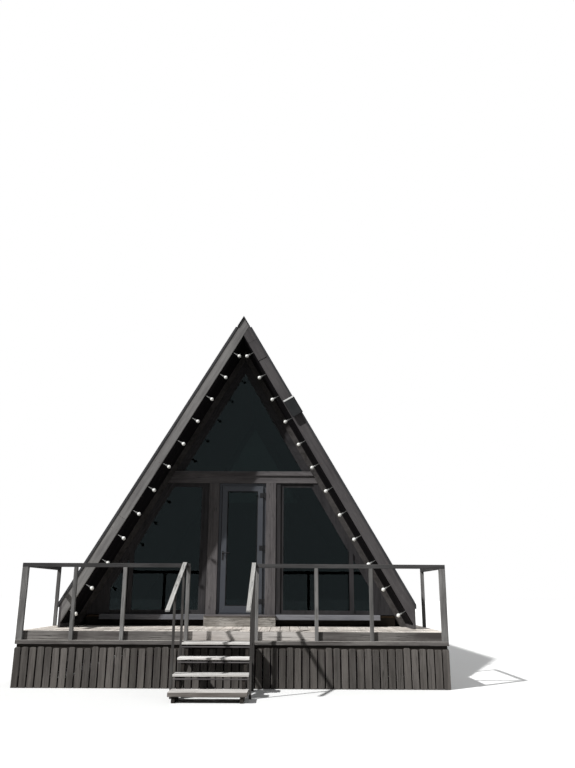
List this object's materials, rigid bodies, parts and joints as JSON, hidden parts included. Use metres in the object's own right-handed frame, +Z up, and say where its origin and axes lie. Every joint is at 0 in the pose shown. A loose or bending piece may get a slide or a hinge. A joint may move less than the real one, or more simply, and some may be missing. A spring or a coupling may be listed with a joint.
{
  "type": "a-frame cabin",
  "caption": "Timber a-frame cabin with a glazed gable, hinged entrance door, raised deck with railing, open stair and string lights under the roof edge.",
  "frame": {"origin": "centre of the bounding box at ground level, under the piers, skirts and stair feet", "axes": "+Z up, +X to the right when facing the door, -Y out of the entrance gable towards the viewer"},
  "size_m": [5.82, 8.353, 5.6286],
  "materials": {
    "stained_timber": "matte dark stain",
    "bargeboard_timber": "matte grey-brown stain",
    "weathered_timber": "bare grey weathered",
    "roof_sheet": "satin black",
    "window_glass": "clear",
    "door_grey": "satin dark grey",
    "black_metal": "satin black",
    "light_string": "matte black"
  },
  "bodies": {
    "cabin": {"roof_left": "stained_timber", "roof_right": "stained_timber", "lining_left": "stained_timber", "lining_right": "stained_timber", "cladding_left": "roof_sheet", "cladding_right": "roof_sheet", "ridge_cap": "roof_sheet", "bargeboard_front_left": "bargeboard_timber", "bargeboard_front_right": "bargeboard_timber", "bargeboards_back": "bargeboard_timber", "eave_boards": "stained_timber", "door_posts": "stained_timber", "header_beam": "stained_timber", "threshold": "stained_timber", "window_sills": "stained_timber", "upper_window_frame": "stained_timber", "upper_window_glass": "window_glass", "left_window_frame": "stained_timber", "left_window_glass": "window_glass", "right_window_frame": "stained_timber", "right_window_glass": "window_glass", "door_frame": "door_grey", "back_wall": "stained_timber", "back_window_frame": "stained_timber", "back_window_glass": "window_glass", "cabin_floor": "weathered_timber", "floor_beams": "stained_timber", "deck_floor": "weathered_timber", "deck_joists": "stained_timber", "deck_piers": "stained_timber", "fascia_front": "stained_timber", "rim_boards": "stained_timber", "skirt_front": "stained_timber", "skirt_sides": "stained_timber", "skirt_back": "stained_timber", "stair_stringers": "stained_timber", "stair_treads": "weathered_timber", "stair_rails": "weathered_timber", "railing_left": "stained_timber", "railing_right": "stained_timber", "floodlight": "black_metal", "string_lights": "light_string"},
    "door": {"door_leaf": "door_grey", "door_glass": "window_glass", "door_handle": "black_metal"}
  },
  "joints": [
    {"name": "door_hinge", "type": "hinge", "parent": "cabin", "child": "door", "pos_m": [0.3405, -1.1225, 1.9], "axis": [0, 0, 1], "range_deg": [0, 100]}
  ]
}
